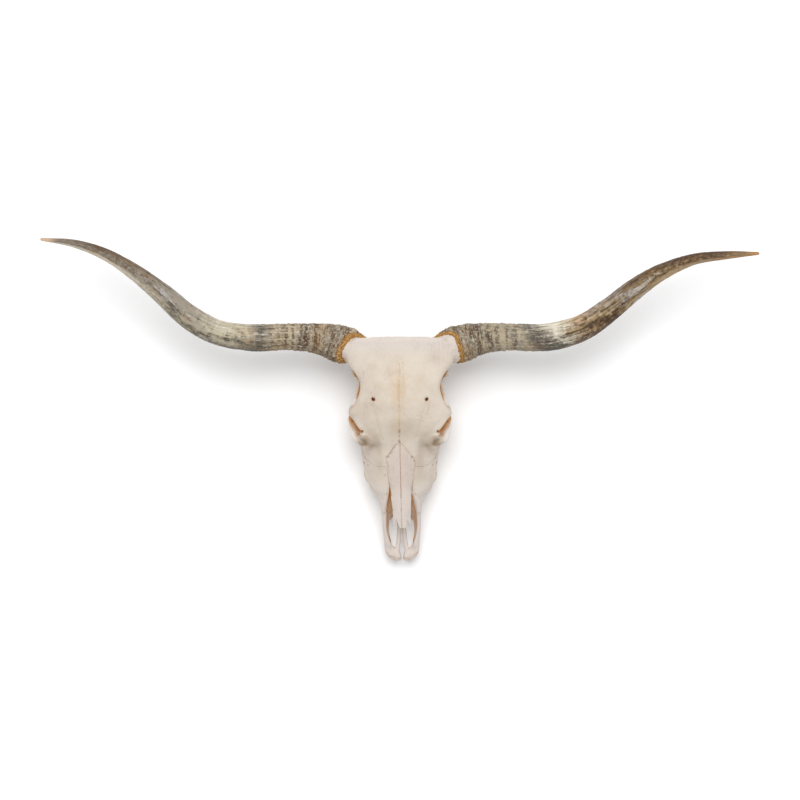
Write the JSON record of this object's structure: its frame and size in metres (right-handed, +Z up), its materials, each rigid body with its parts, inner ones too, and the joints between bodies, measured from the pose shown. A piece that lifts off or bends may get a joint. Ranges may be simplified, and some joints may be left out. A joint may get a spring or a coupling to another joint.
{
  "type": "longhorn steer skull",
  "caption": "Life-size skull of a longhorn steer without its lower jaw, lying on its cheek teeth, with long curved horn sheaths and parted facial bones.",
  "frame": {"origin": "on the floor below the middle of the whole outline, horn tips to muzzle", "axes": "+X to the steer's own left horn, +Y from the muzzle back to the poll, +Z up; the floor is Z = 0"},
  "size_m": [1.6422, 0.7468, 0.19],
  "materials": {
    "bone": "dry cream bone with tan suture lines and enamelled cheek teeth",
    "nose_bone": "thin, slightly pinkish dry bone",
    "horn": "weathered horn: ringed grey-brown base, grey and cream streaks, fibrous brown outer part"
  },
  "bodies": {
    "root": {"cranium": "bone", "upper_jaw_left": "bone", "upper_jaw_right": "bone", "nasal_bone_left": "nose_bone", "nasal_bone_right": "nose_bone", "incisive_bone_left": "nose_bone", "incisive_bone_right": "nose_bone", "horn_left": "horn", "horn_right": "horn"}
  },
  "joints": []
}
